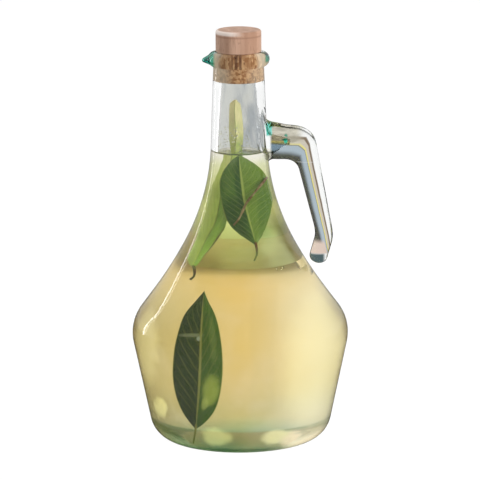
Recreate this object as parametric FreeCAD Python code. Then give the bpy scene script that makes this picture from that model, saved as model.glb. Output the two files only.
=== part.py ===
"""Oil and vinegar bottle: a blown recycled-glass bottle with a pouring beak and an open handle.

The glass is one piece: a conical body on a pushed-up base, a flared neck, a bead round the mouth,
a beak drawn out of the bead for pouring, and a solid handle drawn down from the neck. The neck's
hollow runs a little way into the root of the handle. A turned wooden head on a tapered cork closes
the mouth. Inside, a layer of oil floats on vinegar.

Frame: millimetres, +Z up, origin on the table under the middle of the base. The handle points to
+X and the beak to -X.
"""

import FreeCAD
import Part
import math
import os

from FreeCAD import Vector

# --- Body of the bottle, outside ----------------------------------------------------------------
BASE_CORNER_RADIUS = 52.6      # where the wall would meet the table without its rounded heel
HEEL_FILLET = 16.6             # rounding between the base and the wall
REST_RING_INSET = 19.6         # from that corner in to the ring's inner edge
PUSH_UP_RISE = 4.0             # height of the pushed-up middle of the base
SHOULDER_CORNER_RADIUS = 68.0  # where the wall and the cone above it would meet
SHOULDER_CORNER_HEIGHT = 72.6
SHOULDER_FILLET = 26.0
FLARE_HEIGHT = 93.5            # from the shoulder's corner up to the neck's foot
NECK_FOOT_RADIUS = 17.9        # where the flare and the straight neck would meet
NECK_HEIGHT = 74.5             # from the neck's foot up to the mouth
NECK_TOP_RADIUS = 15.3         # the neck's outside, under the bead
# Corners that shape the flare from the neck's foot to the shoulder, as (share of the way down,
# share of the way out).
FLARE_SHAPE = ((0.328, 0.179), (0.646, 0.508))

# --- Glass thickness ------------------------------------------------------------------------------
WALL = 3.2                     # side wall, up to the neck's foot
FLOOR = 5.5                    # base

# --- Mouth ------------------------------------------------------------------------------------------
MOUTH_RADIUS = 12.4            # the bore at the top, which narrows down to the throat
THROAT_RADIUS = 10.6           # narrowest part of the bore
THROAT_DEPTH = 21.1            # from the mouth down to the throat
THROAT_FILLET = 20.0
BEAD_RADIUS = 4.6              # radius of the bead's round section
BEAD_REACH = 3.6               # how far the bead stands out from the neck

# --- Pouring beak ------------------------------------------------------------------------------------
BEAK_REACH = 22.2              # distance of the tip from the bottle's axis
BEAK_DROOP = 0.7               # how far the tip hangs below the bead's middle
BEAK_ROOT_WIDTH = 23.0
BEAK_TIP_WIDTH = 2.4
BEAK_TIP_DEPTH = 1.8
CHANNEL_ROOT_RADIUS = 4.0      # the pouring channel, at the bore
CHANNEL_TIP_RADIUS = 1.0

# --- Handle --------------------------------------------------------------------------------------------
HANDLE_RISE = 19.9             # from the neck's foot up to the middle of the arm
# Corners of the handle's two edges, as (out from the neck's side, up from the arm's middle,
# fillet). Each cross-section spans from one edge to the other.
HANDLE_OUTER_EDGE = ((-7.0, 20.0, 0), (2.0, 11.2, 6.0), (28.3, 6.9, 13.0), (40.4, -60.0, 20.0), (36.4, -73.5, 0))
HANDLE_INNER_EDGE = ((-7.0, -20.0, 0), (2.5, -11.8, 6.0), (17.8, -12.5, 8.0), (29.4, -57.5, 14.0), (25.6, -71.2, 0))
HANDLE_ROOT_ROUNDNESS = 0.62   # thickness across the handle's plane, as a share of its depth in it
HANDLE_END_ROUNDNESS = 0.95
HANDLE_END_ROUNDING = 4.4      # length of the rounded end
# The hollow inside the handle's root, in the same terms.
HORN_UPPER_EDGE = ((-9.0, 28.0, 0), (1.3, 4.6, 3.0), (12.6, 1.0, 0))
HORN_LOWER_EDGE = ((-9.0, -17.5, 0), (1.0, -9.2, 3.0), (12.0, -3.2, 0))
HORN_ROOT_ROUNDNESS = 0.24
HORN_TIP_ROUNDNESS = 0.7
HORN_TIP_ROUNDING = 2.0

# --- Stopper -------------------------------------------------------------------------------------------
CORK_LENGTH = 18.0             # cork below the wooden head
CORK_CLEARANCE = 0.05          # gap between the cork and the bore
CORK_EDGE_CHAMFER = 0.6
HEAD_RADIUS = 13.9             # turned wooden head
HEAD_HEIGHT = 13.4
HEAD_TOP_FILLET = 1.4
HEAD_BOTTOM_FILLET = 0.5

# --- Contents ------------------------------------------------------------------------------------------
FILL_RISE = 12.5               # from the neck's foot up to the oil's surface
OIL_DEPTH = 66.1               # from the oil's surface down to the vinegar
LIQUID_CLEARANCE = 0.05        # gap between the contents and the glass

REST_RING_RADIUS = BASE_CORNER_RADIUS - REST_RING_INSET
NECK_FOOT_HEIGHT = SHOULDER_CORNER_HEIGHT + FLARE_HEIGHT
MOUTH_HEIGHT = NECK_FOOT_HEIGHT + NECK_HEIGHT
THROAT_HEIGHT = MOUTH_HEIGHT - THROAT_DEPTH
HANDLE_HEIGHT = NECK_FOOT_HEIGHT + HANDLE_RISE
OIL_LEVEL = NECK_FOOT_HEIGHT + FILL_RISE
VINEGAR_LEVEL = OIL_LEVEL - OIL_DEPTH

ORIGIN = Vector(0, 0, 0)
UP = Vector(0, 0, 1)
ACROSS = Vector(0, 1, 0)


def rounded_edges(corners):
    """Edges in the XZ plane along corners (x, z, fillet), with a tangent arc at each inner corner.

    A fillet of None is as large as half of the shorter run beside it allows.
    """
    points = [Vector(x, 0, z) for x, z, _ in corners]
    edges = []
    start = points[0]
    for before, point, after, corner in zip(points, points[1:], points[2:], corners[1:]):
        back = (before - point).normalize()
        onward = (after - point).normalize()
        half_turn = (math.pi - back.getAngle(onward)) / 2
        fillet = corner[2]
        if fillet is None:
            run = min(point.distanceToPoint(before), point.distanceToPoint(after))
            fillet = run / 2 / math.tan(half_turn)
        reach = fillet * math.tan(half_turn)
        inward = (back + onward).normalize()
        middle = point + inward * (fillet / math.cos(half_turn) - fillet)
        begin = point + back * reach
        end = point + onward * reach
        if start.distanceToPoint(begin) > 1e-6:
            edges.append(Part.LineSegment(start, begin).toShape())
        edges.append(Part.Arc(begin, middle, end).toShape())
        start = end
    edges.append(Part.LineSegment(start, points[-1]).toShape())
    return edges


def offset_corners(corners, inset):
    """The corners of the line that lies at a distance to the left of the one through corners."""
    runs = []
    for (x0, z0, _), (x1, z1, _) in zip(corners, corners[1:]):
        along = Vector(x1 - x0, 0, z1 - z0).normalize()
        left = Vector(-along.z, 0, along.x)
        runs.append((Vector(x0, 0, z0) + left * inset, along, left))
    start, end = runs[0][0], Vector(corners[-1][0], 0, corners[-1][1]) + runs[-1][2] * inset
    moved = [(start.x, start.z, 0)]
    for corner, (p, d, _), (q, e, _) in zip(corners[1:], runs, runs[1:]):
        turn = d.x * e.z - d.z * e.x
        share = ((q.x - p.x) * e.z - (q.z - p.z) * e.x) / turn
        meet = p + d * share
        fillet = corner[2]
        if fillet is not None:
            fillet = fillet - math.copysign(inset, turn)
        moved.append((meet.x, meet.z, fillet))
    moved.append((end.x, end.z, 0))
    return moved


def turned_solid(edges):
    """The solid that a chain of edges, from the axis to a last point, encloses round the axis."""
    first = edges[0].Vertexes[0].Point
    last = edges[-1].Vertexes[-1].Point
    top = Vector(0, 0, last.z)
    closing = [Part.LineSegment(last, top).toShape(), Part.LineSegment(top, first).toShape()]
    return Part.Face(Part.Wire(edges + closing)).revolve(ORIGIN, UP, 360)


def oval(centre, deep, half_depth, half_thickness):
    """A closed wire: an ellipse in four quarters, its depth along deep and its thickness along Y."""
    depth_end = centre + deep * half_depth
    side_end = centre + ACROSS * half_thickness
    if half_depth > half_thickness:
        ellipse = Part.Ellipse(depth_end, side_end, centre)
    else:
        ellipse = Part.Ellipse(side_end, depth_end, centre)
    quarter = math.pi / 2
    return Part.Wire([Part.Arc(ellipse, quarter * i, quarter * (i + 1)).toShape() for i in range(4)])


def bar_between(outer, inner, stations, root_roundness, end_roundness, end_rounding):
    """A round-ended bar of oval sections, each of which spans from the outer to the inner edge.

    A section's roundness is its thickness along Y as a share of its depth between the edges.
    """
    outer_points = Part.Wire(rounded_edges(placed_on_neck(outer))).discretize(Number=stations)
    inner_points = Part.Wire(rounded_edges(placed_on_neck(inner))).discretize(Number=stations)
    wires = []
    for i, (high, low) in enumerate(zip(outer_points, inner_points)):
        deep = (high - low).normalize()
        centre = (high + low) / 2
        half_depth = high.distanceToPoint(low) / 2
        half_thickness = half_depth * (root_roundness + (end_roundness - root_roundness) * i / (stations - 1))
        wires.append(oval(centre, deep, half_depth, half_thickness))
    onward = ACROSS.cross(deep)
    for angle in (30, 55, 75):
        along = end_rounding * math.sin(math.radians(angle))
        shrink = math.cos(math.radians(angle))
        wires.append(oval(centre + onward * along, deep, half_depth * shrink, half_thickness * shrink))
    wires.append(Part.Vertex(centre + onward * end_rounding))
    return Part.makeLoft(wires, True, False)


def placed_on_neck(corners):
    """Corners given from the neck's side and the arm's middle, placed in the bottle's frame."""
    climb = (HANDLE_HEIGHT - NECK_FOOT_HEIGHT) / (bead_middle() - NECK_FOOT_HEIGHT)
    neck_side = NECK_FOOT_RADIUS + (NECK_TOP_RADIUS - NECK_FOOT_RADIUS) * climb
    return [(neck_side + out, HANDLE_HEIGHT + up, fillet) for out, up, fillet in corners]


def side_corners():
    """Corners of the bottle's outline, from the ring that it stands on to the bead's middle."""
    out = SHOULDER_CORNER_RADIUS - NECK_FOOT_RADIUS
    flare = [(NECK_FOOT_RADIUS + out * share_out, NECK_FOOT_HEIGHT - FLARE_HEIGHT * share_down, None)
             for share_down, share_out in reversed(FLARE_SHAPE)]
    return [
        (REST_RING_RADIUS, 0, 0),
        (BASE_CORNER_RADIUS, 0, HEEL_FILLET),
        (SHOULDER_CORNER_RADIUS, SHOULDER_CORNER_HEIGHT, SHOULDER_FILLET),
        *flare,
        (NECK_FOOT_RADIUS, NECK_FOOT_HEIGHT, None),
        (NECK_TOP_RADIUS, bead_middle(), 0),
    ]


def hollow_corners(clearance):
    """Corners of the hollow's outline, from the floor to above the mouth."""
    corners = offset_corners(side_corners(), WALL + clearance)
    floor = FLOOR + clearance
    foot, shoulder = corners[1], corners[2]
    slope = (shoulder[0] - foot[0]) / (shoulder[1] - foot[1])
    corners[0] = (REST_RING_RADIUS, floor, 0)
    corners[1] = (foot[0] + slope * (floor - foot[1]), floor, foot[2])
    above = MOUTH_HEIGHT + BEAD_RADIUS
    corners[-1:] = [(THROAT_RADIUS - clearance, THROAT_HEIGHT, THROAT_FILLET),
                    (bore_radius(above) - clearance, above, 0)]
    return corners


def bead_middle():
    """Height of the middle of the bead round the mouth."""
    return MOUTH_HEIGHT - BEAD_RADIUS


def bead_ring_radius():
    """Radius of the circle that the bead's round section runs along."""
    return NECK_TOP_RADIUS + BEAD_REACH - BEAD_RADIUS


def bore_radius(height):
    """Radius of the tapered bore at a height above the throat."""
    share = (height - THROAT_HEIGHT) / (MOUTH_HEIGHT - THROAT_HEIGHT)
    return THROAT_RADIUS + (MOUTH_RADIUS - THROAT_RADIUS) * share


def push_up(height):
    """The arc of the pushed-up base, from the axis to the ring, over a height."""
    sphere = (REST_RING_RADIUS ** 2 + PUSH_UP_RISE ** 2) / (2 * PUSH_UP_RISE)
    half = REST_RING_RADIUS / 2
    half_height = height + PUSH_UP_RISE - sphere + math.sqrt(sphere ** 2 - half ** 2)
    return Part.Arc(Vector(0, 0, height + PUSH_UP_RISE), Vector(half, 0, half_height),
                    Vector(REST_RING_RADIUS, 0, height)).toShape()


def handle():
    """The arm out of the neck and the grip that hangs from it, in one bar."""
    return bar_between(HANDLE_OUTER_EDGE, HANDLE_INNER_EDGE, 20,
                       HANDLE_ROOT_ROUNDNESS, HANDLE_END_ROUNDNESS, HANDLE_END_ROUNDING)


def horn(clearance):
    """The part of the hollow that runs from the neck into the handle's root, less a clearance."""
    upper = [(out - clearance, up - clearance, fillet) for out, up, fillet in HORN_UPPER_EDGE]
    lower = [(out - clearance, up + clearance, fillet) for out, up, fillet in HORN_LOWER_EDGE]
    return bar_between(upper, lower, 8,
                       HORN_ROOT_ROUNDNESS, HORN_TIP_ROUNDNESS, HORN_TIP_ROUNDING)


def hollow(clearance=0.0):
    """The space inside the glass, less a clearance."""
    body = turned_solid([push_up(FLOOR + clearance)] + rounded_edges(hollow_corners(clearance)))
    return body.fuse(horn(clearance)).removeSplitter()


def beak():
    """The beak, drawn out of the bead towards -X."""
    start = bead_ring_radius()
    sections = []
    for share in (0.0, 0.25, 0.5, 0.75, 0.92):
        half_depth = BEAD_RADIUS + (BEAK_TIP_DEPTH / 2 - BEAD_RADIUS) * share
        half_width = (BEAK_ROOT_WIDTH + (BEAK_TIP_WIDTH - BEAK_ROOT_WIDTH) * share) / 2
        out = start + (BEAK_REACH - start) * share
        centre = Vector(-out, 0, bead_middle() - BEAK_DROOP * share)
        sections.append(oval(centre, UP, half_depth, half_width))
    sections.append(Part.Vertex(Vector(-BEAK_REACH, 0, bead_middle() - BEAK_DROOP)))
    return Part.makeLoft(sections, True, False)


def pouring_channel():
    """The tapered channel that leads from the bore along the top of the beak."""
    start = Vector(CHANNEL_ROOT_RADIUS - MOUTH_RADIUS, 0, MOUTH_HEIGHT)
    end = Vector(-BEAK_REACH, 0, bead_middle() - BEAK_DROOP + (BEAK_TIP_DEPTH + CHANNEL_TIP_RADIUS) / 2)
    along = end - start
    return Part.makeCone(CHANNEL_ROOT_RADIUS, CHANNEL_TIP_RADIUS, along.Length, start, along)


def glass_bottle():
    """The whole glass, in one piece."""
    outside = turned_solid([push_up(0)] + rounded_edges(side_corners()))
    bead = Part.makeTorus(bead_ring_radius(), BEAD_RADIUS, Vector(0, 0, bead_middle()))
    return outside.fuse([bead, beak(), handle()]).cut([hollow(), pouring_channel()])


def layer(low, high):
    """The contents of the hollow between two heights."""
    slab = Part.makeCylinder(2 * SHOULDER_CORNER_RADIUS, high - low, Vector(0, 0, low))
    return hollow(LIQUID_CLEARANCE).common(slab)


def cork():
    """The tapered cork, from the mouth's top down into the bore."""
    foot = MOUTH_HEIGHT - CORK_LENGTH
    shank = Part.makeCone(bore_radius(foot) - CORK_CLEARANCE, MOUTH_RADIUS - CORK_CLEARANCE,
                          CORK_LENGTH, Vector(0, 0, foot))
    foot_edge = [edge for edge in shank.Edges if edge.BoundBox.ZMax < foot + CORK_EDGE_CHAMFER]
    return shank.makeChamfer(CORK_EDGE_CHAMFER, foot_edge)


def wooden_head():
    """The turned head, which stands on the bead and holds the cork."""
    head = Part.makeCylinder(HEAD_RADIUS, HEAD_HEIGHT, Vector(0, 0, MOUTH_HEIGHT))
    top = MOUTH_HEIGHT + HEAD_HEIGHT
    top_edge = [edge for edge in head.Edges if edge.BoundBox.ZMin > top - HEAD_BOTTOM_FILLET]
    head = head.makeFillet(HEAD_TOP_FILLET, top_edge)
    bottom_edge = [edge for edge in head.Edges if edge.BoundBox.ZMax < MOUTH_HEIGHT + HEAD_BOTTOM_FILLET]
    return head.makeFillet(HEAD_BOTTOM_FILLET, bottom_edge)


def main():
    """Builds every piece and writes one STEP file for each."""
    pieces = {
        "glass_bottle": glass_bottle(),
        "vinegar": layer(0, VINEGAR_LEVEL),
        "oil": layer(VINEGAR_LEVEL, OIL_LEVEL),
        "cork": cork(),
        "wooden_head": wooden_head(),
    }
    os.makedirs("parts", exist_ok=True)
    for name, shape in pieces.items():
        print(f"{name}: valid {shape.isValid()}, solids {len(shape.Solids)}, {shape.Volume / 1000:.1f} cm3")
        shape.exportStep(f"parts/{name}.step")


main()
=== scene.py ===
"""Oil and vinegar bottle: blown glass with a beak and an open handle, oil on vinegar, bay leaves, a stopper.

The rigid solids come from model.glb and keep their places. The script fills the glass, puts the leaves into
the liquids, and gives every piece its finish.
"""
import logging
import math
import random
from dataclasses import dataclass, field
from enum import Enum
from typing import Callable, ClassVar, Sequence

import bmesh
import bpy
from mathutils import Matrix, Vector
from mathutils.bvhtree import BVHTree


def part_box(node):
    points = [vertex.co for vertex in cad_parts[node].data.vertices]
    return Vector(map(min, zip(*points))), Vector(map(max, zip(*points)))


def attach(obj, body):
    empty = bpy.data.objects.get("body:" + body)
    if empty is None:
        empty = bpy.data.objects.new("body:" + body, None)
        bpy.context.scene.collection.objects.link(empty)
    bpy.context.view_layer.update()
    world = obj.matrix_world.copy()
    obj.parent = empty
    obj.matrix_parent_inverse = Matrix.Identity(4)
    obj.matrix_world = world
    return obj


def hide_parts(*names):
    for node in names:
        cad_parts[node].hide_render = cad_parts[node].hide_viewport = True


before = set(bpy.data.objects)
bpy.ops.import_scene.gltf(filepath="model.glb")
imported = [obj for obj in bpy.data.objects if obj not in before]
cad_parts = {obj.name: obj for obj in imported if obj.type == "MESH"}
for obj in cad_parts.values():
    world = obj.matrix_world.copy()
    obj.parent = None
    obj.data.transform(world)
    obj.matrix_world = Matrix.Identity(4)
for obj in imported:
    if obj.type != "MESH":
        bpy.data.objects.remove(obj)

LOG = logging.getLogger("oil_and_vinegar_bottle")
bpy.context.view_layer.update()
MM = 0.001
SHARP_TURN = 0.7  # radians, past which an edge is shaded sharp
VEIN_SLANT = 3.2  # how many side veins the leaf's half width crosses

Colour = tuple[float, float, float]
Point = tuple[float, float, float]
Span = tuple[float, float]
Profile = list[tuple[float, float]]


def srgb(red: float, green: float, blue: float) -> Colour:
    """Turn a colour written in 0 to 255 screen values into linear light, 0 to 1."""
    parts = (red / 255.0, green / 255.0, blue / 255.0)
    return tuple(p / 12.92 if p <= 0.04045 else ((p + 0.055) / 1.055) ** 2.4 for p in parts)


# --------------------------------------------------------------------------------------------------
# Shader plumbing
# --------------------------------------------------------------------------------------------------


class Signal:
    """A number running between nodes, open to plain arithmetic."""

    def __init__(self, sheet: "Sheet", socket: bpy.types.NodeSocket) -> None:
        """Keep the sheet that the number belongs to and the socket that it leaves from."""
        self.sheet = sheet
        self.socket = socket

    def maths(
        self, operation: str, *others: "Signal | float", first: "Signal | float | None" = None
    ) -> "Signal":
        """Run one Math node on this number and others.

        Args:
            operation: The Math node's operation.
            others: What goes into its further sockets.
            first: What goes into the first socket instead of this number, for the reflected operators.

        Returns:
            The node's result.
        """
        terms = (self, *others) if first is None else (first, self)
        values = dict(enumerate(terms))
        return self.sheet.signal(self.sheet.node("ShaderNodeMath", {"operation": operation}, values))

    def __add__(self, other: "Signal | float") -> "Signal":
        """Add."""
        return self.maths("ADD", other)

    def __radd__(self, other: float) -> "Signal":
        """Add to a plain number."""
        return self.maths("ADD", first=other)

    def __sub__(self, other: "Signal | float") -> "Signal":
        """Subtract."""
        return self.maths("SUBTRACT", other)

    def __rsub__(self, other: float) -> "Signal":
        """Subtract from a plain number."""
        return self.maths("SUBTRACT", first=other)

    def __mul__(self, other: "Signal | float") -> "Signal":
        """Multiply."""
        return self.maths("MULTIPLY", other)

    def __rmul__(self, other: float) -> "Signal":
        """Multiply a plain number."""
        return self.maths("MULTIPLY", first=other)

    def __truediv__(self, other: "Signal | float") -> "Signal":
        """Divide."""
        return self.maths("DIVIDE", other)

    def __rtruediv__(self, other: float) -> "Signal":
        """Divide a plain number."""
        return self.maths("DIVIDE", first=other)

    def __pow__(self, other: "Signal | float") -> "Signal":
        """Raise to a power."""
        return self.maths("POWER", other)

    def __rpow__(self, other: float) -> "Signal":
        """Raise a plain number to this power."""
        return self.maths("POWER", first=other)

    def __abs__(self) -> "Signal":
        """Drop the sign."""
        return self.maths("ABSOLUTE")

    def least(self, other: "Signal | float") -> "Signal":
        """Take the smaller of two numbers."""
        return self.maths("MINIMUM", other)

    def most(self, other: "Signal | float") -> "Signal":
        """Take the larger of two numbers."""
        return self.maths("MAXIMUM", other)

    def ramp(self, low: float, high: float) -> "Signal":
        """Ease from 0 at low to 1 at high.

        Args:
            low: Where the result leaves 0.
            high: Where it reaches 1; it may be below low.

        Returns:
            The eased number.
        """
        start, end = (low, high) if low < high else (high, low)
        eased = self.sheet.signal(self.sheet.ease(self, start, end))
        return eased if low < high else 1.0 - eased


def within(numbers: Sequence[Signal], spans: Sequence[Span]) -> Signal:
    """Mask what lies inside several spans at once.

    Args:
        numbers: The numbers that are looked at.
        spans: For each of them, where its mask leaves 0 and where it reaches 1.

    Returns:
        The product of the masks.
    """
    masks = [number.ramp(*span) for number, span in zip(numbers, spans)]
    made = masks[0]
    for mask in masks[1:]:
        made = made * mask
    return made


class Sheet:
    """A node tree of any kind, emptied, with one way to add a node."""

    def __init__(self, tree: bpy.types.NodeTree) -> None:
        """Keep the tree and empty it."""
        self.tree = tree
        self.tree.nodes.clear()

    def node(self, kind: str, settings: dict | None = None, values: dict | None = None) -> bpy.types.Node:
        """Add a node of any type.

        Args:
            kind: The node's type.
            settings: Its properties, by name.
            values: What its inputs hold or are linked from, by name or number.

        Returns:
            The new node.
        """
        made = self.tree.nodes.new(kind)
        for name, value in (settings or {}).items():
            setattr(made, name, value)
        for key, value in (values or {}).items():
            self.feed(made.inputs[key], value)
        return made

    def feed(self, socket: bpy.types.NodeSocket, value: object) -> None:
        """Set an input, or link it.

        Args:
            socket: The input.
            value: A Signal, a socket, or a plain value; a colour of three parts gets its fourth.
        """
        if isinstance(value, Signal):
            value = value.socket
        if isinstance(value, bpy.types.NodeSocket):
            self.tree.links.new(value, socket)
        elif socket.type == "RGBA" and len(value) == 3:
            socket.default_value = (*value, 1.0)
        else:
            socket.default_value = value

    def signal(self, made: bpy.types.Node, output: int | str = 0) -> Signal:
        """Wrap one of a node's outputs as a number."""
        return Signal(self, made.outputs[output])

    def ease(
        self, value: object, start: float, end: float, low: float = 0.0, high: float = 1.0
    ) -> bpy.types.Node:
        """Add a node that eases from low at start to high at end.

        Args:
            value: What it reads.
            start: Where the result leaves low.
            end: Where it reaches high.
            low: The lowest result.
            high: The highest result.

        Returns:
            The node.
        """
        values = {"Value": value, "From Min": start, "From Max": end, "To Min": low, "To Max": high}
        return self.node("ShaderNodeMapRange", {"interpolation_type": "SMOOTHSTEP"}, values)


class Recipe(Sheet):
    """One material's node sheet."""

    def __init__(self, name: str) -> None:
        """Start an empty material of this name with an output."""
        self.material = bpy.data.materials.new(name)
        self.material.use_nodes = True
        super().__init__(self.material.node_tree)
        self.output = self.node("ShaderNodeOutputMaterial")

    def colours(self, factor: Signal | float, first: object, second: object, how: str = "MIX") -> object:
        """Blend two colours with a Mix node, from the first at 0 to the second at 1."""
        settings = {"data_type": "RGBA", "blend_type": how}
        return self.node("ShaderNodeMix", settings, {0: factor, 6: first, 7: second}).outputs[2]

    def scaled(self, vector: object, scale: Point) -> object:
        """Stretch a vector by a factor along each axis."""
        return self.vectors("MULTIPLY", vector, scale)

    def vectors(self, operation: str, first: object, second: object) -> object:
        """Run one Vector Math node and give its vector."""
        return self.node("ShaderNodeVectorMath", {"operation": operation}, {0: first, 1: second}).outputs[0]

    def place(self) -> object:
        """Give the socket of the object's own coordinates, in metres."""
        return self.node("ShaderNodeTexCoord").outputs["Object"]

    def axes(self, vector: object) -> tuple[Signal, Signal, Signal]:
        """Split a vector into its three numbers."""
        made = self.node("ShaderNodeSeparateXYZ", None, {0: vector})
        return tuple(self.signal(made, i) for i in range(3))

    def noise(self, vector: object, scale: float, detail: float = 2.0, roughness: float = 0.5) -> Signal:
        """Add a noise pattern of about 0.2 to 0.8, with this many waves for each metre of the vector."""
        values = {"Vector": vector, "Scale": scale, "Detail": detail, "Roughness": roughness}
        return self.signal(self.node("ShaderNodeTexNoise", None, values))

    def bump(self, height: Signal, strength: float, distance: float) -> object:
        """Turn a height, whose 1 stands for a distance in metres, into a normal of some strength."""
        values = {"Strength": strength, "Distance": distance, "Height": height}
        return self.node("ShaderNodeBump", None, values).outputs[0]

    def surface(self, shader: object) -> bpy.types.Material:
        """Link the finished shader to the output and give the material."""
        self.feed(self.output.inputs["Surface"], shader)
        return self.material

    def opaque(self, values: dict) -> bpy.types.Material:
        """Finish the sheet with a Principled shader and give the material."""
        return self.surface(self.node("ShaderNodeBsdfPrincipled", None, values).outputs[0])

    def let_light_through(self, shader: object, veil: Colour) -> object:
        """Let lamps shine through a clear piece onto what is inside and behind it.

        Args:
            shader: The clear shader that the eye sees.
            veil: The tint that the light takes on its way.

        Returns:
            The mixed shader's socket.
        """
        path = self.node("ShaderNodeLightPath")
        unseen = self.signal(path, "Is Shadow Ray").most(self.signal(path, "Is Diffuse Ray"))
        open_way = self.node("ShaderNodeBsdfTransparent", None, {"Color": veil}).outputs[0]
        return self.node("ShaderNodeMixShader", None, {0: unseen, 1: shader, 2: open_way}).outputs[0]


# --------------------------------------------------------------------------------------------------
# Finishes
# --------------------------------------------------------------------------------------------------


def clear_shader(
    recipe: Recipe,
    colour: object,
    ior: float,
    rough: Signal | float,
    normal: object = None,
    glow: object = None,
) -> object:
    """Make a clear shader that mirrors at its outer face and not where it is left again, against a liquid.

    Args:
        recipe: The material's sheet.
        colour: Its tint.
        ior: How strongly it bends light.
        rough: How soft it is on the way out.
        normal: A bump's normal, or None.
        glow: The colour of light that it gives of its own, or None.

    Returns:
        The shader's socket.
    """
    faces = []
    for tint, roughness in ((1.0, 0.0), (0.0, rough)):
        values = {
            "Base Color": colour,
            "Roughness": roughness,
            "IOR": ior,
            "Transmission Weight": 1.0,
            "Specular Tint": (tint, tint, tint),
        }
        if normal is not None:
            values["Normal"] = normal
        if glow is not None and tint:
            values["Emission Color"] = glow
            values["Emission Strength"] = 1.0
        faces.append(recipe.node("ShaderNodeBsdfPrincipled", None, values).outputs[0])
    leaving = recipe.signal(recipe.node("ShaderNodeNewGeometry"), "Backfacing")
    return recipe.node("ShaderNodeMixShader", None, {0: leaving, 1: faces[0], 2: faces[1]}).outputs[0]


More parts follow.
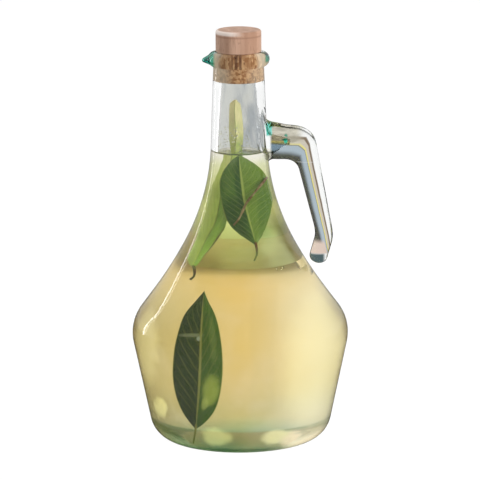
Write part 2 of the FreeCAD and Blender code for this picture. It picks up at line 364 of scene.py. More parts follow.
@dataclass(frozen=True)
class BlownGlass:
    """Hand-worked glass, nearly clear on the body and sea green where it is thick."""

    name: str = "blown_glass"
    clear: Colour = (0.99, 0.997, 0.993)
    green: Colour = srgb(66, 192, 170)
    dark_green: Colour = srgb(28, 152, 136)
    deep_green: Colour = srgb(10, 84, 70)
    beak_green: Colour = srgb(32, 228, 206)
    # The two greys of the painted shade in the dry neck.
    neck_shade: Colour = srgb(206, 207, 202)
    neck_shade_dark: Colour = srgb(164, 169, 172)
    # Olive at grazing angles: partly the longer way through the glass, partly a painted shade for the glass's
    # dark outline.
    edge: Colour = srgb(120, 126, 92)
    ior: float = 1.5
    level: float = 0.1786
    core_reach: float = 0.0149
    wave_size: float = 26.0
    wave_depth: float = 0.00035
    beak: tuple[Span, ...] = ((-0.0138, -0.0156), (0.2300, 0.2315))
    crescent: tuple[Span, ...] = ((0.0150, 0.0168), (0.2330, 0.2360))
    root_streak: tuple[Span, ...] = (
        (0.0160, 0.0170), (0.0205, 0.0195), (0.1890, 0.1905), (0.1985, 0.1965),
    )
    foot: tuple[Span, ...] = ((0.0070, 0.0012), (0.046, 0.008))
    horn_tip: Span = (0.0284, 0.1858)
    horn_tip_fade: Span = (2.2e-6, 0.6e-6)
    fold_left: float = 0.0170
    fold_height: float = 0.2346
    fold_slope: float = 0.10
    fold_fade: Span = (0.0007, 0.0002)
    grazing: Span = (0.80, 0.97)
    inner_line: tuple[float, float, float] = (0.0348, 0.1735, 0.2578)
    outer_line: tuple[float, float, float] = (0.0453, 0.1929, 0.181)
    arm_under: float = 0.1738
    arm_over: Span = (0.2003, 0.163)
    # Dark painted shade along the grip's inner side.
    grip_shade: Colour = srgb(82, 82, 77)
    # Painted refraction: the beige seen through the handle's arm.
    arm_refraction: tuple[Colour, Colour] = (srgb(214, 209, 190), srgb(170, 165, 148))
    # Painted refraction: the pinkish zone above the handle's low end.
    tip_refraction: Colour = srgb(222, 202, 188)
    # Painted shade: the dark cap at the handle's low end.
    tip_shade: Colour = srgb(84, 102, 104)
    arm_refraction_space: tuple[Span, ...] = ((0.041, 0.034), (0.46, 0.56))
    tip_refraction_space: tuple[Span, ...] = ((0.1255, 0.1215), (0.46, 0.36))
    low_end: Span = (0.1165, 0.1150)
    tip_shade_side: Span = (0.0530, 0.0505)
    front: Span = (0.0004, -0.0004)
    grip_space: tuple[Span, ...] = ((-0.0100, -0.0080), (0.1035, 0.1045), (0.030, 0.031))
    grip_top: Span = (0.1755, 0.1725)
    arm_space: tuple[Span, ...] = ((0.1725, 0.1735), (0.0182, 0.0200))
    below_horn: Span = (0.2010, 0.1990)
    # Bands across the handle in painted refraction and shade: a grey-blue core, grey, yellow, beige and brown
    # lines, and a clear outer half.
    painted_handle_bands: tuple[tuple[float, float, Colour], ...] = (
        (0.14, 0.34, srgb(176, 190, 199)),
        (0.45, 0.47, srgb(150, 152, 140)),
        (0.48, 0.50, srgb(232, 222, 140)),
        (0.53, 0.55, srgb(206, 198, 184)),
        (0.64, 0.67, srgb(132, 116, 98)),
        (0.71, 0.76, srgb(250, 251, 250)),
    )

    def material(self) -> bpy.types.Material:
        """Build the glass.

        Returns:
            The material.
        """
        recipe = Recipe(self.name)
        place = recipe.place()
        x, y, z = recipe.axes(place)
        colour = self._neck(recipe, place, x, y, z)
        colour = self._handle(recipe, place, x, y, z, colour)
        beak = within((x, z), self.beak)
        crescent = within((x, z), self.crescent)
        streak = within((x, x, z, z), self.root_streak)
        tip_x, tip_z = self.horn_tip
        horn_tip = ((x - tip_x) * (x - tip_x) + (z - tip_z) * (z - tip_z)).ramp(*self.horn_tip_fade)
        foot = within((z, x), self.foot) * 0.7
        colour = recipe.colours(streak.most(horn_tip).most(foot), colour, self.green)
        colour = recipe.colours(beak, colour, self.beak_green)
        colour = recipe.colours(crescent, colour, self.dark_green)
        above = abs(z - self.fold_height - (x + self.fold_left) * self.fold_slope)
        fold = above.ramp(*self.fold_fade) * beak * y.ramp(0.001, -0.001)
        colour = recipe.colours(fold * 0.8, colour, self.deep_green)
        # Olive at grazing angles: partly the longer way through the glass, partly a painted shade for the
        # glass's dark outline.
        grazing = recipe.signal(recipe.node("ShaderNodeLayerWeight", None, {"Blend": 0.5}), "Facing")
        colour = recipe.colours(grazing.ramp(*self.grazing) * 0.85, colour, self.edge)
        waves = recipe.noise(place, self.wave_size, 1.0)
        upright = recipe.scaled(place, (1.0, 1.0, 0.05))
        drawn = recipe.noise(upright, 420.0, 2.0) * z.ramp(0.170, 0.190)
        normal = recipe.bump(waves + drawn * 0.3, 0.35, self.wave_depth)
        shader = clear_shader(recipe, colour, self.ior, beak.most(crescent) * 0.25, normal)
        return recipe.surface(recipe.let_light_through(shader, (0.95, 0.97, 0.965)))

    def _neck(self, recipe: Recipe, place: object, x: Signal, y: Signal, z: Signal) -> object:
        """Paint the dry inside of the neck grey, a painted shade for the dimmer room seen through it, darker
        towards +x.

        Args:
            recipe: The material's sheet.
            place: The object's own coordinates.
            x: Across.
            y: In depth.
            z: Upright.

        Returns:
            The colour's socket.
        """
        reach = (x * x + y * y) ** 0.5
        soft = 0.2 * MM
        spans = ((self.core_reach + soft, self.core_reach - soft), (self.level, self.level + 4.0 * soft))
        dry = within((reach, z), spans)
        cloud = recipe.noise(recipe.scaled(place, (1.0, 1.0, 0.35)), 170.0, 4.0)
        # Painted shade: grey over the dry neck, darker towards +x.
        neck_shade = recipe.colours((cloud + x * 12.0).ramp(0.38, 0.72), self.neck_shade, self.neck_shade_dark)
        return recipe.colours(dry, self.clear, neck_shade)

    def _handle(
        self, recipe: Recipe, place: object, x: Signal, y: Signal, z: Signal, colour: object
    ) -> object:
        """Paint bands along the handle's front half that stand in for refraction and shade: a painted shade
        on the grip's inner side, painted lines of colour seen through the glass, and painted refraction and
        shade at the arm and the low end; the back half stays clear.

        Args:
            recipe: The material's sheet.
            place: The object's own coordinates.
            x: Across.
            y: In depth.
            z: Upright.
            colour: The glass's colour elsewhere.

        Returns:
            The colour's socket.
        """
        inner_line, outer_line = (
            start + (height - z) * lean for start, height, lean in (self.inner_line, self.outer_line)
        )
        top, fall = self.arm_over
        from_inner = (z - self.arm_under).most((x - inner_line) * 0.968)
        from_outer = (top - x * fall - z).least((outer_line - x) * 0.984)
        across = from_inner / (from_inner + from_outer)
        wander = recipe.noise(place, 60.0, 2.0)
        across = across + (wander - 0.5) * 0.10
        # The bands start from the painted shade of the grip's inner side.
        bands: object = self.grip_shade
        for low, high, band in self.painted_handle_bands:
            bands = recipe.colours(across.ramp(low, high), bands, band)
        # Painted refraction: beige streaks over the handle's arm.
        arm = within((x, across), self.arm_refraction_space)
        arm_mottle = recipe.noise(recipe.scaled(place, (0.4, 1.0, 1.0)), 330.0, 2.0)
        arm_refraction = recipe.colours(arm_mottle.ramp(0.3, 0.7), *self.arm_refraction)
        bands = recipe.colours(arm * 0.9, bands, arm_refraction)
        # Painted refraction: pinkish above the handle's low end.
        bands = recipe.colours(within((z, across), self.tip_refraction_space), bands, self.tip_refraction)
        low_end = z.ramp(*self.low_end)
        bands = recipe.colours(low_end, bands, self.clear)
        # Painted shade: a dark cap on one side of the handle's low end.
        bands = recipe.colours(low_end * x.ramp(*self.tip_shade_side), bands, self.tip_shade)
        bands = recipe.colours(1.0, bands, bands, "MULTIPLY")
        bands = recipe.colours(y.ramp(*self.front), self.clear, bands)
        on_grip = within((x - inner_line, z, x), self.grip_space).least(z.ramp(*self.grip_top))
        on_handle = on_grip.most(within((z, x), self.arm_space)) * z.ramp(*self.below_horn)
        return recipe.colours(on_handle, colour, bands)


@dataclass(frozen=True)
class Drink:
    """A cloudy liquid. Its colour changes with height and across, which stands in for refraction."""

    name: str
    steps: tuple[tuple[float, Colour, Colour, Colour], ...]
    ior: float = 1.38
    cloud: float = 0.18
    softness: float = 0.42
    glows: tuple[tuple[float, float, float, float, Colour], ...] = ()

    def material(self) -> bpy.types.Material:
        """Build the liquid.

        Returns:
            The material.
        """
        recipe = Recipe(self.name)
        place = recipe.place()
        x, _, z = recipe.axes(place)
        height = z + (recipe.noise(place, 40.0, 3.0) - 0.5) * 0.010
        side = x + (recipe.noise(place, 34.0, 2.0) - 0.5) * 0.020
        left, right = side.ramp(0.004, -0.052), side.ramp(-0.004, 0.056)
        colour: object = None
        before = 0.0
        for top, left_colour, middle_colour, right_colour in self.steps:
            row = recipe.colours(left, recipe.colours(right, middle_colour, right_colour), left_colour)
            colour = row if colour is None else recipe.colours(height.ramp(before, top), colour, row)
            before = top
        mottle = recipe.noise(place, 55.0, 4.0).ramp(0.45, 0.8) * self.cloud
        colour = recipe.colours(mottle, colour, (1.0, 0.93, 0.78))
        rough = recipe.noise(place, 60.0, 2.0).ramp(0.2, 0.8) * 0.1 + self.softness
        glow = self._glow(recipe, place) if self.glows else None
        shader = clear_shader(recipe, colour, self.ior, rough, glow=glow)
        return recipe.surface(recipe.let_light_through(shader, (0.94, 0.90, 0.78)))

    def _glow(self, recipe: Recipe, place: object) -> object:
        """Give soft spots of emission in the front of the liquid, where the glass would gather light.

        Args:
            recipe: The material's sheet.
            place: The object's own coordinates.

        Returns:
            The colour's socket.
        """
        swing = 6.0 * MM
        noise = recipe.node("ShaderNodeTexNoise", None, {"Vector": place, "Scale": 120.0})
        ragged = recipe.scaled(noise.outputs["Color"], (swing,) * 3)
        centred = recipe.vectors("SUBTRACT", ragged, (swing / 2.0,) * 3)
        x, y, z = recipe.axes(recipe.vectors("ADD", place, centred))
        front = y.ramp(-0.010, -0.020)
        colour: object = (0.0, 0.0, 0.0)
        for across, height, wide, tall, light in self.glows:
            reach = ((x - across) / wide) ** 2.0 + ((z - height) / tall) ** 2.0
            colour = recipe.colours(reach.ramp(1.3, 0.2) * front, colour, light)
        return colour


@dataclass(frozen=True)
class LayerMeeting:
    """The place where the two liquids touch: nothing shows there but the change of colour."""

    name: str = "layer_meeting"

    def material(self) -> bpy.types.Material:
        """Build the see-through meeting face.

        Returns:
            The material.
        """
        recipe = Recipe(self.name)
        place = recipe.place()
        film = recipe.noise(place, 90.0, 3.0).ramp(0.3, 0.8)
        colour = recipe.colours(film, (0.97, 0.97, 0.93), (1.0, 1.0, 1.0))
        return recipe.surface(recipe.node("ShaderNodeBsdfTransparent", None, {"Color": colour}).outputs[0])


@dataclass(frozen=True)
class BayLeaf:
    """A bay leaf's skin, with a pale midrib, side veins and two halves that catch the light differently."""

    name: str
    lit: Colour
    shaded: Colour
    rib: Colour = srgb(150, 160, 95)
    margin: Colour = srgb(172, 180, 100)
    veins: float = 15.0
    # Patches of painted sheen, reflection and shade, and a few spots of the leaf's own colour.
    sheen_shade_and_spots: tuple[tuple[float, float, float, float, float, Colour], ...] = ()

    def material(self) -> bpy.types.Material:
        """Build the leaf.

        Returns:
            The material.
        """
        recipe = Recipe(self.name)
        across, along, _ = recipe.axes(recipe.node("ShaderNodeUVMap", {"uv_map": "leaf"}).outputs[0])
        place = recipe.place()
        side = across - 0.5
        out = abs(side) * 2.0
        rough = recipe.noise(place, 160.0, 4.0)
        fine = recipe.noise(place, 900.0, 3.0)
        bend = along * self.veins + out * VEIN_SLANT + rough * 0.5
        wave = abs(bend.maths("FRACT") - 0.5) * 2.0
        vein = wave.ramp(0.86, 1.0) * out.ramp(1.0, 0.7)
        rib = out.ramp(0.075, 0.02)
        colour = recipe.colours(side.ramp(-0.04, 0.04), self.shaded, self.lit)
        darker = recipe.colours(1.0, colour, (0.55,) * 3, "MULTIPLY")
        colour = recipe.colours(rough.ramp(0.35, 0.75) * 0.35, colour, darker)
        colour = recipe.colours(fine.ramp(0.45, 0.8) * 0.12, colour, self.rib)
        # Patches of painted sheen, reflection and shade, and a few spots of the leaf's own colour.
        for u, v, wide, tall, strength, tint in self.sheen_shade_and_spots:
            away = ((across - u) / wide) ** 2.0 + ((along - v) / tall) ** 2.0
            spot = (away + (rough - 0.5) * 1.2).ramp(1.2, 0.1)
            colour = recipe.colours(spot * strength, colour, tint)
        colour = recipe.colours(vein * 0.5, colour, self.rib)
        colour = recipe.colours(rib * 0.8, colour, self.rib)
        colour = recipe.colours(out.ramp(0.95, 1.0) * 0.6, colour, self.margin)
        height = wave * 0.5 + fine * 0.25 - rib
        normal = recipe.bump(height, 0.5, 0.0004)
        return recipe.opaque({"Base Color": colour, "Roughness": 0.36 + fine * 0.2, "Normal": normal})


@dataclass(frozen=True)
class DryStalk:
    """Brown stalks and leaf stems."""

    name: str = "dry_stalk"
    bark: Colour = srgb(110, 70, 35)
    green: Colour = srgb(105, 115, 50)
    fibre: Colour = srgb(60, 45, 25)

    def material(self) -> bpy.types.Material:
        """Build the stalk.

        Returns:
            The material.
        """
        recipe = Recipe(self.name)
        place = recipe.place()
        patch = recipe.noise(place, 220.0, 3.0)
        grain = recipe.noise(recipe.scaled(place, (1.0, 1.0, 0.12)), 1800.0, 2.0)
        colour = recipe.colours(patch.ramp(0.4, 0.65), self.green, self.bark)
        colour = recipe.colours(grain.ramp(0.3, 0.8) * 0.4, colour, self.fibre)
        normal = recipe.bump(grain, 0.6, 0.0002)
        return recipe.opaque({"Base Color": colour, "Roughness": 0.6, "Normal": normal})


@dataclass(frozen=True)
class PressedCork:
    """Cork with crumbs of several browns, dark pits and fine streaks."""

    name: str = "pressed_cork"
    light: Colour = srgb(196, 154, 110)
    mid: Colour = srgb(144, 98, 60)
    dark: Colour = srgb(78, 42, 22)
    # On the cork, pale serves only the painted highlights.
    pale: Colour = srgb(232, 216, 190)
    seat: float = 0.2326
    upper: Span = (0.2322, 0.2330)
    middle: tuple[Span, ...] = ((-0.0045, -0.0030), (0.0022, 0.0010))

    def material(self) -> bpy.types.Material:
        """Build the cork.

        Returns:
            The material.
        """
        recipe = Recipe(self.name)
        place = recipe.place()
        cells = recipe.node("ShaderNodeTexVoronoi", {"feature": "F1"}, {"Vector": place, "Scale": 900.0})
        crumb = recipe.signal(cells, "Distance")
        shade = recipe.axes(cells.outputs["Color"])[0]
        patch = recipe.noise(place, 420.0, 5.0, 0.6)
        fine = recipe.noise(place, 2600.0, 3.0)
        streak = recipe.noise(recipe.scaled(place, (1.0, 1.0, 0.22)), 420.0, 3.0)
        colour = recipe.colours(shade.ramp(0.1, 0.9), self.mid, self.light)
        colour = recipe.colours(patch.ramp(0.4, 0.7) * 0.5, colour, self.mid)
        colour = recipe.colours(streak.ramp(0.60, 0.72) * 0.75, colour, self.dark)
        pits = patch.ramp(0.60, 0.68)
        colour = recipe.colours(pits * 0.8, colour, self.dark)
        colour = recipe.colours(fine.ramp(0.55, 0.85) * 0.35, colour, self.dark)
        x, _, z = recipe.axes(place)
        upper = z.ramp(*self.upper)
        drawn = recipe.noise(recipe.scaled(place, (1.0, 1.0, 0.05)), 700.0, 2.0)
        middle = within((x, x), self.middle)
        colour = recipe.colours(upper * middle * drawn.ramp(0.42, 0.58) * 0.75, colour, self.dark)
        # Painted highlights at both sides of the cork's top, where the bead's glass shines in front of it.
        colour = recipe.colours(upper * abs(x).ramp(0.0088, 0.0110) * 0.55, colour, self.pale)
        lower = 1.0 - upper
        # Painted light: the lower cork paler towards its sides and on its left side.
        colour = recipe.colours(lower * abs(x + 0.001).ramp(0.0030, 0.0110) * 0.25, colour, self.pale)
        colour = recipe.colours(lower * x.ramp(-0.0020, -0.0090) * 0.35, colour, self.pale)
        # Painted highlight: a pale line where the bead's lower edge lies in front of the cork.
        line = abs(z - self.seat).ramp(0.0006, 0.0002) * abs(x).ramp(0.0085, 0.0070)
        colour = recipe.colours(line * 0.8, colour, self.pale)
        normal = recipe.bump(fine * 0.4 - pits - crumb * 0.5, 0.7, 0.0004)
        return recipe.opaque({"Base Color": colour, "Roughness": 0.75, "Normal": normal})


@dataclass(frozen=True)
class TurnedBeech:
    """Pale pink beech with fine upright grain, waxed."""

    name: str = "turned_beech"
    pale: Colour = srgb(206, 166, 141)
    deep: Colour = srgb(174, 134, 109)
    fleck: Colour = srgb(140, 98, 74)
    # The colour of the painted highlight along the top's left rim.
    rim_highlight: Colour = srgb(248, 234, 224)
    foot: Colour = srgb(128, 66, 42)
    rim: tuple[Span, ...] = ((0.0118, 0.0132), (0.004, -0.006))
    rim_height: Span = (0.2512, 0.2524)
    line_height: float = 0.2506
    foot_height: Span = (0.2412, 0.2404)

    def material(self) -> bpy.types.Material:
        """Build the wood.

        Returns:
            The material.
        """
        recipe = Recipe(self.name)
        place = recipe.place()
        upright = recipe.scaled(place, (1.0, 1.0, 0.045))
        broad = recipe.noise(upright, 190.0, 3.0)
        fine = recipe.noise(upright, 2200.0, 3.0, 0.6)
        dashes = recipe.noise(recipe.scaled(place, (1.0, 1.0, 0.16)), 1500.0, 1.0)
        colour = recipe.colours(broad.ramp(0.3, 0.7), self.pale, self.deep)
        colour = recipe.colours(fine.ramp(0.35, 0.75) * 0.6, colour, self.deep)
        colour = recipe.colours(dashes.ramp(0.64, 0.72) * 0.6, colour, self.fleck)
        x, y, z = recipe.axes(place)
        # Painted highlight along the top's rim on its left side.
        rim = within(((x * x + y * y) ** 0.5, x), self.rim)
        colour = recipe.colours(rim * z.ramp(*self.rim_height) * 0.85, colour, self.rim_highlight)
        line = abs(z - self.line_height).ramp(0.0008, 0.0002)
        colour = recipe.colours(line * 0.45, colour, self.fleck)
        colour = recipe.colours(z.ramp(*self.foot_height) * 0.75, colour, self.foot)
        normal = recipe.bump(fine * 0.6 - dashes.ramp(0.6, 0.75), 0.35, 0.0002)
        values = {"Base Color": colour, "Roughness": 0.42 + fine * 0.15, "Normal": normal}
        return recipe.opaque({**values, "Coat Weight": 0.15, "Coat Roughness": 0.25})


# --------------------------------------------------------------------------------------------------
# Mesh helpers
# --------------------------------------------------------------------------------------------------


def new_piece(name: str, mesh: bpy.types.Mesh) -> bpy.types.Object:
    """Put a mesh into the scene as a piece at the origin.

    Args:
        name: The piece's name.
        mesh: Its mesh.

    Returns:
        The object.
    """
    piece = bpy.data.objects.new(name, mesh)
    bpy.context.scene.collection.objects.link(piece)
    return piece


def settle(work: bmesh.types.BMesh, name: str, smooth: bool = True) -> bpy.types.Mesh:
    """Close a bmesh, point its faces outwards and turn it into a mesh.

    Args:
        work: The shape; it is freed.
        name: The mesh's name.
        smooth: Whether its faces are shaded smooth.

    Returns:
        The mesh.
    """
    bmesh.ops.remove_doubles(work, verts=work.verts, dist=1e-7)
    bmesh.ops.recalc_face_normals(work, faces=work.faces)
    for face in work.faces:
        face.smooth = smooth
    for edge in work.edges:
        sides = edge.link_faces
        slots = {side.material_index for side in sides}
        edge.smooth = len(sides) == 2 and len(slots) == 1 and edge.calc_face_angle(0.0) < SHARP_TURN
    mesh = bpy.data.meshes.new(name)
    work.to_mesh(mesh)
    work.free()
    return mesh


def turned(
    work: bmesh.types.BMesh,
    profile: Profile,
    steps: int,
    slot_of: Callable[[int], int] = lambda _: 0,
    reach: Callable[[float, float, float], float] = lambda radius, _height, _turn: radius,
) -> None:
    """Turn a profile round the upright axis.

    Args:
        work: Where the faces go.
        profile: Radius and height of each point, from pole to pole, in metres.
        steps: Faces round the axis.
        slot_of: Gives the material slot of each band of faces, by its number.
        reach: Gives the radius in a direction, from the profile's radius, the height and the turn.
    """
    rings = []
    for radius, height in profile:
        if radius < 1e-9:
            rings.append([work.verts.new((0.0, 0.0, height))])
            continue
        turns = [2.0 * math.pi * i / steps for i in range(steps)]
        ring = []
        for turn in turns:
            out = reach(radius, height, turn)
            ring.append(work.verts.new((out * math.cos(turn), out * math.sin(turn), height)))
        rings.append(ring)
    for number, (low, high) in enumerate(zip(rings, rings[1:])):
        for i in range(steps):
            k = (i + 1) % steps
            if len(low) == 1:
                corners = (low[0], high[k], high[i])
            elif len(high) == 1:
                corners = (low[i], low[k], high[0])
            else:
                corners = (low[i], low[k], high[k], high[i])
            work.faces.new(corners).material_index = slot_of(number)


def solid_tree(node: str) -> BVHTree:
    """Make a CAD solid ready for casting rays at it."""
    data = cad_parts[node].data
    return BVHTree.FromPolygons([v.co for v in data.vertices], [tuple(p.vertices) for p in data.polygons])


def outline_of(node: str, middle: float) -> Profile:
    """Read the outline of a round CAD solid, away from the horn's side, from its bottom pole to its top pole.

    Args:
        node: The CAD node.
        middle: A height on the axis from which the whole outline is in sight.

    Returns:
        The outline's points in order.
    """
    places = [v.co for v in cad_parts[node].data.vertices]
    horn_side = 0.3
    away = [p for p in places if p.x <= horn_side * math.hypot(p.x, p.y)]
    points = {(round(math.hypot(p.x, p.y), 5), round(p.z, 5)) for p in away}
    ordered = sorted(points, key=lambda p: math.atan2(p[1] - middle, max(p[0], 1e-6)))
    kept: Profile = []
    for point in ordered:
        if not kept or math.dist(point, kept[-1]) > 0.3 * MM:
            kept.append(point)
    return kept


# --------------------------------------------------------------------------------------------------
# The object's parts
# --------------------------------------------------------------------------------------------------


@dataclass
class GlassBody:
    """The bottle itself, which keeps its CAD shape and gets its finish."""

    finish: BlownGlass = field(default_factory=BlownGlass)

    def build(self) -> None:
        """Dress the CAD glass."""
        dress_node("glass_bottle", self.finish.material())


def dress_node(node: str, material: bpy.types.Material) -> None:
    """Give a carried-over CAD node its finish.

    Args:
        node: The node's name.
        material: The finish.
    """
    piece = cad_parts[node]
    if not piece.material_slots:
        piece.data.materials.append(material)
    for held in piece.material_slots:
        held.material = material
    LOG.info("%s dressed with %s", node, material.name)


class Layer(Enum):
    """The two liquids, by their CAD nodes."""

    VINEGAR = "vinegar"
    OIL = "oil"


@dataclass
class Liquids:
    """Vinegar below and oil above, each reaching just into the glass."""

    bite: float = 0.25 * MM
    steps: int = 240
    meniscus_rise: float = 1.3 * MM
    meniscus_width: float = 2.6 * MM
    meniscus_fall: float = 3.2
    horn_turn: float = 0.45
    horn_depth: float = 4.0 * MM
    vinegar_finish: Drink = Drink(
        "vinegar",
        (
            (0.000, srgb(92, 152, 108), srgb(104, 180, 140), srgb(255, 246, 236)),
            (0.016, srgb(162, 152, 94), srgb(198, 186, 120), srgb(255, 250, 228)),
            (0.045, srgb(208, 192, 124), srgb(222, 194, 120), srgb(255, 248, 205)),
            (0.075, srgb(190, 170, 98), srgb(233, 197, 108), srgb(255, 246, 208)),
            (0.106, srgb(218, 200, 136), srgb(232, 196, 112), srgb(255, 250, 222)),
            (0.118, srgb(212, 214, 134), srgb(222, 212, 128), srgb(242, 238, 190)),
        ),
        glows=(
            (-0.0475, 0.0260, 0.0040, 0.0075, (0.30, 0.29, 0.12)),
            (-0.0140, 0.0130, 0.0095, 0.0055, (0.26, 0.27, 0.10)),
            (0.0220, 0.0120, 0.0100, 0.0050, (0.40, 0.38, 0.20)),
            (0.0370, 0.0080, 0.0150, 0.0080, (0.46, 0.36, 0.26)),
            (0.0470, 0.0520, 0.0240, 0.0460, (0.13, 0.12, 0.05)),
            (-0.0580, 0.0640, 0.0100, 0.0300, (0.14, 0.14, 0.07)),
        ),
    )
    oil_finish: Drink = Drink(
        "oil",
        (
            (0.100, srgb(218, 226, 136), srgb(236, 228, 146), srgb(248, 244, 206)),
            (0.114, srgb(212, 228, 140), srgb(230, 230, 146), srgb(242, 248, 212)),
            (0.150, srgb(216, 226, 150), srgb(224, 228, 144), srgb(240, 244, 212)),
            (0.168, srgb(192, 184, 142), srgb(226, 228, 170), srgb(250, 250, 240)),
            (0.177, srgb(198, 180, 152), srgb(246, 242, 230), srgb(255, 254, 252)),
        ),
        cloud=0.08,
        softness=0.3,
        glows=(
            (0.0250, 0.1210, 0.0150, 0.0160, (0.17, 0.20, 0.10)),
            (0.0020, 0.1160, 0.0160, 0.0100, (0.05, 0.06, 0.02)),
        ),
    )

    def build(self) -> list[bpy.types.Object]:
        """Make both layers.

        Returns:
            The two pieces.
        """
        meeting = LayerMeeting().material()
        return [
            self._layer(Layer.VINEGAR, 0.060, self.vinegar_finish.material(), meeting),
            self._layer(Layer.OIL, 0.140, self.oil_finish.material(), meeting),
        ]

    def _layer(
        self, layer: Layer, middle: float, drink: bpy.types.Material, meeting: bpy.types.Material
    ) -> bpy.types.Object:
        """Make one layer from its CAD solid's outline.

        Args:
            layer: Which of the two it is.
            middle: A height on the axis inside the layer.
            drink: The liquid's material.
            meeting: The material of the face between the layers.

        Returns:
            The piece.
        """
        node = layer.value
        name = f"{node}_fill"
        low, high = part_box(node)
        is_oil = layer is Layer.OIL
        wall = outline_of(node, middle)
        sides = [p for p in wall if p[0] > 1e-5]
        rim = max(p[0] for p in sides if p[1] > high.z - 1e-5)
        profile: Profile = []
        if is_oil:
            sides = [p for p in sides if low.z + 1e-6 < p[1] < high.z - 1e-6]
            foot = low.z
            broad = max(p[0] for p in wall if p[1] < low.z + 1e-5)
            profile += [(0.0, foot), (broad * 0.6, foot), (broad + self.bite, foot)]
            profile += [(radius + self.bite, height) for radius, height in sides]
            profile += self._surface(rim, high.z)
            slot_of = lambda number: 1 if number < 2 else 0
        else:
            sides = [p for p in sides if p[1] < high.z - 1e-6]
            grown = self._grown(sides)
            profile += [(0.0, wall[0][1] - self.bite)] + grown
            profile += [(rim + self.bite, high.z), (rim * 0.6, high.z), (0.0, high.z)]
            count = len(profile)
            slot_of = lambda number: 1 if number >= count - 3 else 0
        work = bmesh.new()
        turned(work, profile, self.steps, slot_of, self._into_horn(node, rim, high.z))
        piece = new_piece(name, settle(work, name))
        piece.data.materials.append(drink)
        piece.data.materials.append(meeting)
        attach(piece, "root")
        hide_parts(node)
        return piece

    def _into_horn(self, node: str, rim: float, level: float) -> Callable[[float, float, float], float]:
        """Let the liquid run into the root of the hollow horn, as its CAD solid does.

        Args:
            node: The CAD solid.
            rim: The wall's radius at the liquid's surface.
            level: The height of the surface.

        Returns:
            The radius in a direction, for turned.
        """
        solid = solid_tree(node)

        def reach(radius: float, height: float, turn: float) -> float:
            """Give the radius in one direction.

            Args:
                radius: The profile's radius.
                height: Its height.
                turn: The direction round the axis, in radians.

            Returns:
                The radius, as far as the horn's wall where the horn opens.
            """
            aside = abs(math.remainder(turn, 2.0 * math.pi)) > self.horn_turn
            if aside or radius < rim * 0.8 or height < level - self.horn_depth:
                return radius
            way = Vector((math.cos(turn), math.sin(turn), 0.0))
            place, _, _, far = solid.ray_cast(Vector((0.0, 0.0, min(height, level - 0.05 * MM))), way)
            return radius if place is None else max(radius, radius + far - rim)

        return reach

    def _grown(self, points: Profile) -> Profile:
        """Push an outline outwards by the bite, along its own normals.

        Args:
            points: The outline, bottom to top.

        Returns:
            The grown outline.
        """
        grown = []
        for i, (radius, height) in enumerate(points):
            before = points[max(i - 1, 0)]
            after = points[min(i + 1, len(points) - 1)]
            run = Vector((after[0] - before[0], after[1] - before[1])).normalized()
            grown.append((radius + run.y * self.bite, height - run.x * self.bite))
        return grown

    def _surface(self, wall: float, level: float) -> Profile:
        """Give the free surface, drawn up where it meets the glass.

        Args:
            wall: The glass's inner radius there.
            level: The height of the flat part.

        Returns:
            Points from the wall to the axis.
        """
        points = [(wall + self.bite, level + self.meniscus_rise)]
        for step in range(9):
            away = self.meniscus_width * step / 8.0
            rise = self.meniscus_rise * math.exp(-self.meniscus_fall * away / self.meniscus_width)
            points.append((wall - away, level + rise))
        points += [(wall * 0.5, level), (0.0, level)]
        return points


@dataclass(frozen=True)
class Leaf:
    """One bay leaf by its left edge, midrib and right edge, tip to stem, in millimetres, and its stem."""

    look: BayLeaf
    left: tuple[Point, ...]
    rib: tuple[Point, ...]
    right: tuple[Point, ...]
    stalk: tuple[Point, ...]
    fold: float = 1.0
    ripple: float = 0.5
    fresh: bool = False
    seed: int = 1


def smooth_path(points: Sequence[tuple[float, float, float]], count: int) -> list[Vector]:
    """Run a smooth line through points.

    Args:
        points: The points, in millimetres.
        count: How many places along it are wanted.

    Returns:
        The places, in metres.
    """
    knots = [Vector(p) * MM for p in points]
    ends = [2.0 * knots[0] - knots[1], *knots, 2.0 * knots[-1] - knots[-2]]
    made = []
    for i in range(count):
        reach = i / (count - 1) * (len(knots) - 1)
        k = min(int(reach), len(knots) - 2)
        t = reach - k
        a, b, c, d = ends[k : k + 4]
        made.append(
            0.5
            * ((2 * b) + (c - a) * t + (2 * a - 5 * b + 4 * c - d) * t * t + (3 * b - a - 3 * c + d) * t**3)
        )
    return made


